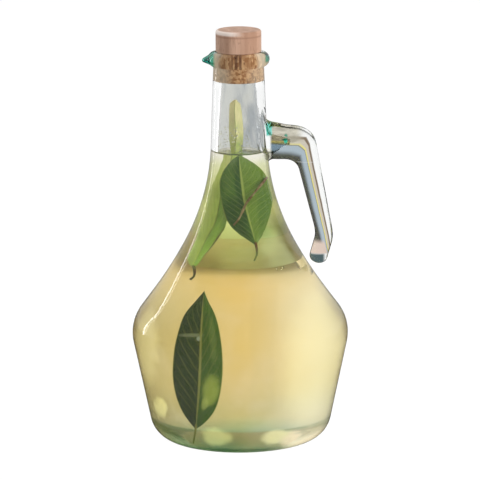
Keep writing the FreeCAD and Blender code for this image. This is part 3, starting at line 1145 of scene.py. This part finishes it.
@dataclass
class BayLeaves:
    """The bay leaves that float in both layers, joined as one piece."""

    stations: int = 140
    across: int = 20
    thickness: float = 0.35 * MM
    stalk_radius: float = 0.75 * MM
    leaves: tuple[Leaf, ...] = (
        Leaf(
            look=BayLeaf(
                "bay_leaf_low",
                srgb(60, 104, 22),
                srgb(28, 66, 4),
                veins=14.0,
                # Painted sheen on the right half with a lighter patch above it, and a painted bluish-white
                # reflection across the left of the upper third.
                sheen_shade_and_spots=(
                    (0.78, 0.65, 0.22, 0.10, 0.85, srgb(160, 188, 100)),
                    (0.68, 0.72, 0.10, 0.05, 0.6, srgb(185, 208, 130)),
                    (0.80, 0.35, 0.10, 0.16, 0.4, srgb(120, 150, 90)),
                    (0.30, 0.335, 0.28, 0.013, 0.7, srgb(140, 160, 150)),
                    (0.46, 0.355, 0.06, 0.016, 0.9, srgb(160, 185, 195)),
                ),
            ),
            left=(
                (-20.0, -31, 97.2), (-24.5, -32, 91.4), (-32.3, -38, 83.8), (-36.1, -42, 73.1),
                (-38.4, -44, 62.8), (-39.8, -43.5, 50.1), (-38.2, -41.5, 37.2), (-33.9, -40, 26.6),
                (-28.4, -38, 19.1), (-25.9, -40, 16.0),
            ),
            rib=(
                (-20.1, -31, 97.4), (-20.9, -35, 92.3), (-21.7, -41, 84.3), (-22.2, -45, 73.4),
                (-22.4, -47, 63.6), (-23.1, -47, 51.9), (-24.0, -45, 38.8), (-25.0, -43, 27.6),
                (-25.6, -41, 19.7), (-25.9, -40, 16.0),
            ),
            right=(
                (-20.2, -31, 97.2), (-18.2, -34, 91.9), (-14.1, -40, 83.7), (-11.2, -44, 72.8),
                (-9.9, -46, 63.5), (-10.0, -46, 52.3), (-11.5, -44, 39.3), (-14.8, -42, 28.1),
                (-20.9, -40, 19.9), (-25.9, -40, 16.0),
            ),
            stalk=((-25.7, -40.8, 19.5), (-26.2, -40, 14.0), (-27.0, -38.5, 9.8), (-27.4, -37, 7.6)),
            fresh=True,
            seed=3,
        ),
        Leaf(
            look=BayLeaf(
                "bay_leaf_neck",
                srgb(104, 134, 58),
                srgb(76, 116, 48),
                rib=srgb(170, 185, 110),
                # A darker strip down the middle-left, a darker patch on the lower left, a painted shade on
                # the lower right and a lighter patch on the upper left.
                sheen_shade_and_spots=(
                    (0.42, 0.40, 0.10, 0.45, 0.75, srgb(30, 78, 30)),
                    (0.16, 0.30, 0.14, 0.25, 0.4, srgb(110, 145, 70)),
                    (0.85, 0.62, 0.16, 0.30, 0.5, srgb(60, 100, 44)),
                    (0.22, 0.72, 0.30, 0.24, 0.6, srgb(30, 74, 28)),
                ),
            ),
            left=(
                (-0.4, -6, 178.3), (-3.4, -3.5, 174.6), (-7.2, -4, 168.4), (-9.5, -4.5, 161.7),
                (-9.8, -5, 155.4), (-9.2, -6, 149.3), (-8.1, -7, 143.1), (-5.8, -7, 135.3),
                (-0.3, -7.5, 127.5), (8.4, -12, 120.9),
            ),
            rib=(
                (-0.3, -7, 178.4), (0.1, -8, 174.6), (0.6, -9, 169.1), (1.2, -9.5, 162.8),
                (1.8, -10, 156.6), (2.5, -11, 150.4), (3.8, -12, 144.3), (5.5, -12, 136.6),
                (7.1, -12, 128.8), (8.4, -12, 121.0),
            ),
            right=(
                (0.4, -5, 178.3), (4.0, -1.5, 174.6), (10.2, -2, 168.6), (14.5, -2.5, 161.4),
                (16.1, -3, 154.9), (17.6, -4, 148.7), (16.4, -5, 142.5), (14.2, -5.5, 134.7),
                (11.4, -7, 126.8), (8.4, -12, 120.9),
            ),
            stalk=((8.2, -12.0, 123.5), (8.8, -12.0, 118.1), (8.5, -11.5, 114.3), (7.3, -11.0, 110.5)),
            seed=5,
        ),
        Leaf(
            look=BayLeaf(
                "bay_leaf_pale",
                srgb(156, 194, 92),
                srgb(206, 228, 132),
                veins=24.0,
                # Pale yellow over the upper part, a painted shade on the right with a painted grey-blue sheen
                # on it, a lighter left edge and a brown right edge near the stem.
                sheen_shade_and_spots=(
                    (0.5, 0.00, 9.0, 0.49, 1.0, srgb(246, 234, 176)),
                    (0.95, 0.60, 0.25, 0.20, 0.8, srgb(70, 100, 60)),
                    (0.85, 0.52, 0.15, 0.10, 0.6, srgb(130, 150, 150)),
                    (0.05, 0.62, 0.25, 0.20, 0.6, srgb(206, 216, 130)),
                    (1.00, 0.84, 0.12, 0.10, 0.9, srgb(92, 74, 46)),
                ),
            ),
            left=(
                (-3.2, 5, 210.2), (-5.4, 5, 208.6), (-6.2, 5, 205.6), (-6.4, 5, 196.5), (-6.0, 5, 186.6),
                (-5.4, 6, 177.0), (-7.6, 7, 164.5), (-11.2, 8, 153.8), (-14.3, 8, 135.4), (-18.9, 8, 119.9),
                (-22.5, 8, 107.2), (-21.6, 8.5, 100.2),
            ),
            rib=(
                (-2.2, 4, 210.6), (-2.4, 3, 209.0), (-2.6, 2, 206.0), (-2.4, 1, 196.5), (-2.0, 1, 186.5),
                (-3.0, 2, 177.0), (-6.0, 3, 163.0), (-7.6, 4, 151.0), (-10.2, 5, 133.0), (-14.6, 6, 119.5),
                (-18.6, 7, 106.5), (-20.5, 8, 100.0),
            ),
            right=(
                (-1.2, 5, 210.2), (0.4, 5.5, 208.6), (1.6, 6, 205.0), (2.6, 7, 196.3), (2.4, 7, 186.4),
                (1.4, 8, 177.0), (-1.6, 9, 162.0), (-4.2, 10, 148.9), (-5.0, 10, 130.8), (-9.6, 10, 117.0),
                (-15.4, 10, 106.2), (-19.0, 9, 100.3),
            ),
            stalk=((-20.2, 8.2, 101.0), (-19.4, 9.0, 97.5), (-19.9, 9.0, 93.2), (-21.6, 9.0, 90.7)),
            fold=0.4,
            ripple=0.9,
            seed=8,
        ),
    )
    twig: tuple[Point, ...] = (
        (14.9, -5.0, 163.4), (9.6, -12.2, 157.0), (4.4, -14.0, 150.2), (1.9, -14.8, 144.8),
        (-0.2, -15.4, 139.8), (-3.2, -16.0, 135.4),
    )

    def build(self) -> bpy.types.Object:
        """Make the leaves.

        Returns:
            The piece.
        """
        work = bmesh.new()
        uv = work.loops.layers.uv.new("leaf")
        for number, leaf in enumerate(self.leaves):
            self._blade(work, uv, leaf, number)
            stem = number if leaf.fresh else len(self.leaves)
            tube(work, smooth_path(leaf.stalk, 14), lambda t: self.stalk_radius * (1.0 - 0.35 * t), 10, stem)
        piece = new_piece("bay_leaves", settle(work, "bay_leaves"))
        for leaf in self.leaves:
            piece.data.materials.append(leaf.look.material())
        stalks = DryStalk().material()
        piece.data.materials.append(stalks)
        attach(piece, "root")
        return piece

    def build_twig(self) -> bpy.types.Object:
        """Make the loose brown twig in front of the upper leaf.

        Returns:
            The piece.
        """
        work = bmesh.new()
        knots = lambda t: (0.80 + 0.20 * math.sin(19.0 * t) * math.sin(7.0 * t) - 0.25 * t) * MM
        tube(work, smooth_path(self.twig, 60), knots, 10, 0)
        piece = new_piece("bay_twig", settle(work, "bay_twig"))
        piece.data.materials.append(DryStalk("twig_bark", srgb(96, 66, 44), srgb(164, 142, 124)).material())
        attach(piece, "root")
        return piece

    def _blade(self, work: bmesh.types.BMesh, uv: object, leaf: Leaf, slot: int) -> None:
        """Make one leaf's blade as a thin closed sheet.

        Args:
            work: Where it goes.
            uv: The UV layer that its pattern follows.
            leaf: The leaf.
            slot: Its material slot.
        """
        lefts, ribs, rights = (smooth_path(rail, self.stations) for rail in (leaf.left, leaf.rib, leaf.right))
        chance = random.Random(leaf.seed)
        phase = [chance.uniform(0.0, 2.0 * math.pi) for _ in range(3)]
        rows = {+1: [], -1: []}
        for i, (left, rib, right) in enumerate(zip(lefts, ribs, rights)):
            t = i / (self.stations - 1)
            along = (ribs[min(i + 1, self.stations - 1)] - ribs[max(i - 1, 0)]).normalized()
            spread = right - left
            out = along.cross(spread).normalized() if spread.length > 1e-5 else Vector((0.0, -1.0, 0.0))
            if out.y > 0.0:
                out = -out
            room = min(spread.length / (8.0 * MM), 1.0)
            for face in (+1, -1):
                row = []
                for j in range(self.across + 1):
                    u = 2.0 * j / self.across - 1.0
                    flat = rib.lerp(left, -u) if u < 0.0 else rib.lerp(right, u)
                    camber = leaf.fold * math.sin(math.pi * abs(u)) * 0.8
                    wave = leaf.ripple * u * u * math.sin(11.0 * t + 2.0 * u + phase[0])
                    wave += 0.5 * leaf.ripple * math.sin(29.0 * t + 4.0 * u + phase[1]) * abs(u)
                    veins = math.cos(2.0 * math.pi * (leaf.look.veins * t + VEIN_SLANT * abs(u)))
                    veins = veins * math.sin(math.pi * abs(u))
                    half = 0.5 * self.thickness * face * (1.0 - 0.85 * u**8)
                    lift = room * (camber + wave + 0.10 * veins) * MM + half
                    row.append(work.verts.new(flat + out * lift))
                rows[face].append(row)
        for face in (+1, -1):
            sheet = rows[face]
            for i in range(self.stations - 1):
                for j in range(self.across):
                    corners = [sheet[i][j], sheet[i][j + 1], sheet[i + 1][j + 1], sheet[i + 1][j]]
                    spots = [(j, i), (j + 1, i), (j + 1, i + 1), (j, i + 1)]
                    if face < 0:
                        corners.reverse()
                        spots.reverse()
                    self._face(work, uv, corners, spots, slot)
        front, back = rows[+1], rows[-1]
        last = self.across
        for i in range(self.stations - 1):
            edge = [front[i][0], front[i + 1][0], back[i + 1][0], back[i][0]]
            self._face(work, uv, edge, [(0, i), (0, i + 1), (0, i + 1), (0, i)], slot)
            edge = [front[i][last], back[i][last], back[i + 1][last], front[i + 1][last]]
            self._face(work, uv, edge, [(last, i), (last, i), (last, i + 1), (last, i + 1)], slot)
        for i in (0, self.stations - 1):
            for j in range(last):
                end = [front[i][j], back[i][j], back[i][j + 1], front[i][j + 1]]
                self._face(work, uv, end, [(j, i), (j, i), (j + 1, i), (j + 1, i)], slot)

    def _face(self, work: bmesh.types.BMesh, uv: object, corners: list, spots: list, slot: int) -> None:
        """Add one face with its place on the leaf.

        Args:
            work: Where it goes.
            uv: The UV layer.
            corners: Its corners.
            spots: Each corner's column and row on the leaf.
            slot: Its material slot.
        """
        made = work.faces.new(corners)
        made.material_index = slot
        for loop, (column, row) in zip(made.loops, spots):
            loop[uv].uv = (column / self.across, row / (self.stations - 1))


def tube(
    work: bmesh.types.BMesh, path: Sequence[Vector], radius: Callable[[float], float], sides: int, slot: int
) -> None:
    """Make a closed tube along a path.

    Args:
        work: Where it goes.
        path: Places along it, in metres.
        radius: Gives the radius at each share of the way.
        sides: Faces round it.
        slot: Its material slot.
    """
    rings = []
    across = (path[1] - path[0]).orthogonal().normalized()
    for i, point in enumerate(path):
        along = (path[min(i + 1, len(path) - 1)] - path[max(i - 1, 0)]).normalized()
        across = (across - along * across.dot(along)).normalized()
        other = along.cross(across)
        size = radius(i / (len(path) - 1))
        turns = [2.0 * math.pi * k / sides for k in range(sides)]
        ways = [across * math.cos(a) + other * math.sin(a) for a in turns]
        rings.append([work.verts.new(point + way * size) for way in ways])
    for low, high in zip(rings, rings[1:]):
        for k in range(sides):
            n = (k + 1) % sides
            work.faces.new((low[k], low[n], high[n], high[k])).material_index = slot
    work.faces.new(list(reversed(rings[0]))).material_index = slot
    work.faces.new(rings[-1]).material_index = slot


@dataclass(frozen=True)
class ClearBead:
    """A drop of liquid on glass, or a bubble of air in liquid, by how it bends light."""

    name: str
    ior: float
    tint: Colour

    def material(self) -> bpy.types.Material:
        """Build the bead.

        Returns:
            The material.
        """
        recipe = Recipe(self.name)
        place = recipe.place()
        colour = recipe.colours(recipe.noise(place, 500.0, 2.0).ramp(0.3, 0.7), self.tint, (1.0, 1.0, 1.0))
        normal = recipe.bump(recipe.noise(place, 1200.0, 1.0), 0.2, 0.0001)
        shader = clear_shader(recipe, colour, self.ior, 0.0, normal)
        return recipe.surface(recipe.let_light_through(shader, (0.98, 0.98, 0.96)))


@dataclass
class Strewn:
    """Small closed shapes strewn over a surface with Geometry Nodes."""

    name: str
    finish: ClearBead
    density: float
    spacing: float
    least: float
    most: float
    seed: int
    bead_steps: int = 9
    bead_sink: float = 0.25
    inputs: ClassVar[dict[str, str]] = {
        "Ground": "Geometry",
        "Bead": "Object",
        "Density": "Float",
        "Spacing": "Float",
        "Least": "Float",
        "Most": "Float",
        "Seed": "Int",
        "Finish": "Material",
    }

    def build(self, ground: bpy.types.Mesh) -> bpy.types.Object:
        """Strew the shapes and keep them as a plain mesh.

        Args:
            ground: The surface that they sit on; it is used up.

        Returns:
            The piece.
        """
        work = bmesh.new()
        angles = [i * math.pi / self.bead_steps for i in range(self.bead_steps + 1)]
        rise = 1.0 - self.bead_sink
        turned(work, [(math.sin(a), self.bead_sink - rise * math.cos(a)) for a in angles], 16)
        bead = new_piece(f"{self.name}_bead", settle(work, f"{self.name}_bead"))
        carrier = new_piece(f"{self.name}_ground", ground)
        tree = self._tree()
        values = {
            "Bead": bead,
            "Density": self.density,
            "Spacing": self.spacing,
            "Least": self.least,
            "Most": self.most,
            "Seed": self.seed,
            "Finish": self.finish.material(),
        }
        modifier = carrier.modifiers.new("strewn", "NODES")
        modifier.node_group = tree
        for socket in tree.interface.items_tree:
            if socket.in_out == "INPUT" and socket.name in values:
                modifier[socket.identifier] = values[socket.name]
        bpy.context.view_layer.update()
        mesh = bpy.data.meshes.new_from_object(carrier.evaluated_get(bpy.context.evaluated_depsgraph_get()))
        bpy.data.objects.remove(carrier)
        bpy.data.objects.remove(bead)
        mesh.name = self.name
        piece = new_piece(self.name, mesh)
        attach(piece, "root")
        return piece

    def _tree(self) -> bpy.types.NodeTree:
        """Make the tree that spreads points, sets a bead of random size on each, and gives the finish.

        Returns:
            The tree.
        """
        tree = bpy.data.node_groups.new(f"{self.name}_nodes", "GeometryNodeTree")
        sheet = Sheet(tree)
        for label, kind in self.inputs.items():
            tree.interface.new_socket(label, in_out="INPUT", socket_type=f"NodeSocket{kind}")
        tree.interface.new_socket("Beads", in_out="OUTPUT", socket_type="NodeSocketGeometry")
        given = sheet.node("NodeGroupInput").outputs
        values = {
            "Mesh": given["Ground"],
            "Distance Min": given["Spacing"],
            "Density Max": given["Density"],
            "Seed": given["Seed"],
        }
        spread = sheet.node("GeometryNodeDistributePointsOnFaces", {"distribute_method": "POISSON"}, values)
        values = {2: given["Least"], 3: given["Most"], "Seed": given["Seed"]}
        size = sheet.node("FunctionNodeRandomValue", None, values)
        shape = sheet.node("GeometryNodeObjectInfo", None, {"Object": given["Bead"]})
        values = {
            "Points": spread.outputs["Points"],
            "Rotation": spread.outputs["Rotation"],
            "Instance": shape.outputs["Geometry"],
            "Scale": size.outputs[1],
        }
        put = sheet.node("GeometryNodeInstanceOnPoints", None, values)
        solid = sheet.node("GeometryNodeRealizeInstances", None, {0: put.outputs[0]})
        values = {"Geometry": solid.outputs[0], "Material": given["Finish"]}
        dress = sheet.node("GeometryNodeSetMaterial", None, values)
        sheet.node("NodeGroupOutput", None, {0: dress.outputs[0]})
        return tree


def inner_wall(turns: tuple[float, float], heights: tuple[float, float], steps: int = 24) -> bpy.types.Mesh:
    """Make a patch of the glass's inner wall, facing the axis.

    Args:
        turns: The first and last direction round the axis, in degrees.
        heights: The lowest and highest place, in metres.
        steps: Faces each way.

    Returns:
        The patch.
    """
    solid = solid_tree("glass_bottle")
    work = bmesh.new()
    rows = []
    for i in range(steps + 1):
        height = heights[0] + (heights[1] - heights[0]) * i / steps
        row = []
        for j in range(steps + 1):
            turn = math.radians(turns[0] + (turns[1] - turns[0]) * j / steps)
            way = Vector((math.cos(turn), math.sin(turn), 0.0))
            middle = Vector((0.0, 0.0, height))
            place, _, _, _ = solid.ray_cast(middle, way)
            row.append(work.verts.new(place if place is not None else middle + way * 13.0 * MM))
        rows.append(row)
    for low, high in zip(rows, rows[1:]):
        for j in range(steps):
            work.faces.new((low[j], high[j], high[j + 1], low[j + 1]))
    mesh = bpy.data.meshes.new("inner_wall")
    work.to_mesh(mesh)
    work.free()
    return mesh


def leaf_front(leaves: bpy.types.Object, slot: int) -> bpy.types.Mesh:
    """Copy the front faces of one leaf.

    Args:
        leaves: The leaves' piece.
        slot: The leaf's material slot.

    Returns:
        The copied faces.
    """
    work = bmesh.new()
    work.from_mesh(leaves.data)
    dropped = [face for face in work.faces if face.material_index != slot or face.normal.y > -0.2]
    bmesh.ops.delete(work, geom=dropped, context="FACES")
    mesh = bpy.data.meshes.new("leaf_front")
    work.to_mesh(mesh)
    work.free()
    return mesh


@dataclass
class Stopper:
    """The cork and the wooden head on it."""

    free_until: float = 0.2305
    bite: float = 0.2 * MM
    chamfer: float = 0.6 * MM
    steps: int = 144
    cork_finish: PressedCork = field(default_factory=PressedCork)
    wood_finish: TurnedBeech = field(default_factory=TurnedBeech)

    def build(self) -> bpy.types.Object:
        """Dress the wooden head and make the cork.

        Returns:
            The cork's piece.
        """
        dress_node("wooden_head", self.wood_finish.material())
        low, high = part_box("cork")
        radius = high.x
        tight = radius + self.bite
        profile: Profile = [(0.0, low.z), (radius * 0.5, low.z), (tight - self.chamfer, low.z)]
        rows = 44
        for i in range(rows + 1):
            height = low.z + self.chamfer + (high.z - low.z - self.chamfer) * i / rows
            share = min(max((height - self.free_until) / (1.2 * MM), 0.0), 1.0)
            profile.append((tight + (radius - 0.15 * MM - tight) * share, height))
        profile += [(radius * 0.5, high.z), (0.0, high.z)]
        work = bmesh.new()
        turned(work, profile, self.steps)
        piece = new_piece("cork_stopper", settle(work, "cork_stopper"))
        piece.data.materials.append(self.cork_finish.material())
        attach(piece, "root")
        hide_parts("cork")
        return piece


# --------------------------------------------------------------------------------------------------
# The stage
# --------------------------------------------------------------------------------------------------


@dataclass
class Studio:
    """Camera, floor, backdrop colour and lamps."""

    away: float = 2.8
    elevation: float = 11.46
    aim: tuple[float, float, float] = (0.0002, 0.0, 0.1237)
    roll: float = 0.35
    lens: float = 350.2
    soft_light: float = 0.50
    mirrored_room: tuple[float, float, float, float] = (-0.25, 0.65, 0.03, 0.6)
    room_through_glass: tuple[float, float, float, float] = (-0.55, 0.25, 0.96, 1.0)
    floor_half: float = 6.0
    floor_white: float = 1.07
    floor_seen: float = 0.88
    floor_pale: float = 0.86
    floor_mirrored: float = 0.05

    def build(self) -> None:
        """Set up everything that isn't the object."""
        self._camera()
        self._floor()
        self._world()
        self._lamp("left_strip", (-1.05, 0.70, 0.35), (0.05, 0.8), 0.8, mirrored=True)
        self._lamp("key", (1.4, -1.0, 0.8), (0.7, 0.7), 22.0)
        self._lamp("top", (-0.5, 0.5, 1.5), (0.5, 0.5), 9.0)
        scene = bpy.context.scene
        scene.view_settings.view_transform = "Standard"
        scene.cycles.max_bounces = 28
        scene.cycles.transmission_bounces = 28
        scene.cycles.transparent_max_bounces = 32
        scene.cycles.glossy_bounces = 8
        scene.cycles.diffuse_bounces = 4

    def _camera(self) -> None:
        """Place the camera."""
        data = bpy.data.cameras.new("camera")
        data.lens = self.lens
        data.sensor_width = 36.0
        data.clip_end = 50.0
        camera = bpy.data.objects.new("camera", data)
        bpy.context.scene.collection.objects.link(camera)
        target = Vector(self.aim)
        rise = self.away * math.tan(math.radians(self.elevation))
        place = Vector((0.0, -self.away, 0.127 + rise))
        turn = (target - place).to_track_quat("-Z", "Y").to_matrix().to_4x4()
        roll = Matrix.Rotation(math.radians(-self.roll), 4, "Z")
        camera.matrix_world = Matrix.Translation(place) @ turn @ roll
        bpy.context.scene.camera = camera

    def _floor(self) -> None:
        """Lay a pale floor that keeps the object's shadow."""
        work = bmesh.new()
        far = self.floor_half
        places = ((-far, -far), (far, -far), (far, far), (-far, far))
        work.faces.new([work.verts.new((x, y, 0.0)) for x, y in places])
        piece = new_piece("floor", settle(work, "floor", smooth=False))
        recipe = Recipe("floor")
        path = recipe.node("ShaderNodeLightPath")
        through = recipe.signal(path, "Is Transmission Ray")
        mirrored = recipe.signal(path, "Is Glossy Ray") * (1.0 - through)
        behind = recipe.axes(recipe.place())[1].ramp(0.0, 1.5) * 0.4
        seen = recipe.signal(path, "Is Camera Ray").most(through).most(mirrored * behind)
        shade = recipe.colours(mirrored, (self.floor_pale,) * 3, (self.floor_mirrored,) * 3)
        plain = recipe.node("ShaderNodeBsdfDiffuse", None, {"Color": shade}).outputs[0]
        values = {"Color": (1.0, 1.0, 1.0), "Strength": self.floor_white}
        white = recipe.node("ShaderNodeEmission", None, values).outputs[0]
        values = {0: seen * self.floor_seen, 1: plain, 2: white}
        mixed = recipe.node("ShaderNodeMixShader", None, values)
        piece.data.materials.append(recipe.surface(mixed.outputs[0]))

    def _world(self) -> None:
        """Set the soft light all round, with a white ground for what the eye and the glass see."""
        world = bpy.data.worlds.new("studio")
        bpy.context.scene.world = world
        world.use_nodes = True
        sheet = Sheet(world.node_tree)
        path = sheet.node("ShaderNodeLightPath").outputs
        way = sheet.node("ShaderNodeTexCoord").outputs["Generated"]
        back = sheet.node("ShaderNodeSeparateXYZ", None, {0: way}).outputs[1]
        mirrored, through = (
            sheet.ease(back, start, end, low, high).outputs[0]
            for start, end, low, high in (self.mirrored_room, self.room_through_glass)
        )
        seen: object = self.soft_light
        for ray, strength in (
            ("Is Glossy Ray", mirrored),
            ("Is Transmission Ray", through),
            ("Is Camera Ray", 1.0),
        ):
            seen = sheet.node("ShaderNodeMix", None, {0: path[ray], 2: seen, 3: strength}).outputs[0]
        values = {"Color": (1.0, 1.0, 1.0), "Strength": seen}
        ground = sheet.node("ShaderNodeBackground", None, values)
        sheet.node("ShaderNodeOutputWorld", None, {0: ground.outputs[0]})

    def _lamp(
        self,
        name: str,
        place: tuple[float, float, float],
        size: tuple[float, float],
        power: float,
        mirrored: bool = False,
    ) -> None:
        """Hang a soft lamp that faces the object.

        Args:
            name: Its name.
            place: Where it hangs, in metres.
            size: Its width and height, in metres.
            power: Its power in watts.
            mirrored: Whether glass shows it.
        """
        data = bpy.data.lights.new(name, "AREA")
        data.shape = "RECTANGLE"
        data.size, data.size_y = size
        data.energy = power
        lamp = bpy.data.objects.new(name, data)
        bpy.context.scene.collection.objects.link(lamp)
        lamp.location = place
        lamp.visible_glossy = mirrored
        lamp.visible_transmission = mirrored
        lamp.rotation_euler = (Vector((0.0, 0.0, 0.13)) - Vector(place)).to_track_quat("-Z", "Y").to_euler()


def main() -> None:
    """Build the parts in order and report each."""
    logging.basicConfig(level=logging.INFO, format="%(message)s")
    GlassBody().build()
    for piece in Liquids().build():
        LOG.info("%s: %d faces", piece.name, len(piece.data.polygons))
    herbs = BayLeaves()
    leaves = herbs.build()
    drop = ClearBead("oil_drop", 1.46, (0.96, 0.95, 0.86))
    air = ClearBead("air_bubble", 0.72, (0.96, 0.97, 0.95))
    drops = Strewn("wall_drops", drop, 3.0e5, 1.1 * MM, 0.20 * MM, 0.55 * MM, 7)
    bubbles = Strewn("leaf_bubbles", air, 6.0e4, 1.2 * MM, 0.15 * MM, 0.38 * MM, 11)
    afloat = Strewn("floating_bubbles", air, 9.0e5, 1.6 * MM, 0.35 * MM, 0.75 * MM, 4)
    strewn = (
        drops.build(inner_wall((-150.0, -62.0), (0.1805, 0.1960))),
        bubbles.build(leaf_front(leaves, 0)),
        afloat.build(inner_wall((-56.0, -46.0), (0.1105, 0.1122))),
    )
    for piece in (leaves, herbs.build_twig(), *strewn):
        LOG.info("%s: %d faces", piece.name, len(piece.data.polygons))
    cork = Stopper().build()
    LOG.info("%s: %d faces", cork.name, len(cork.data.polygons))
    Studio().build()


if __name__ == "__main__":
    main()
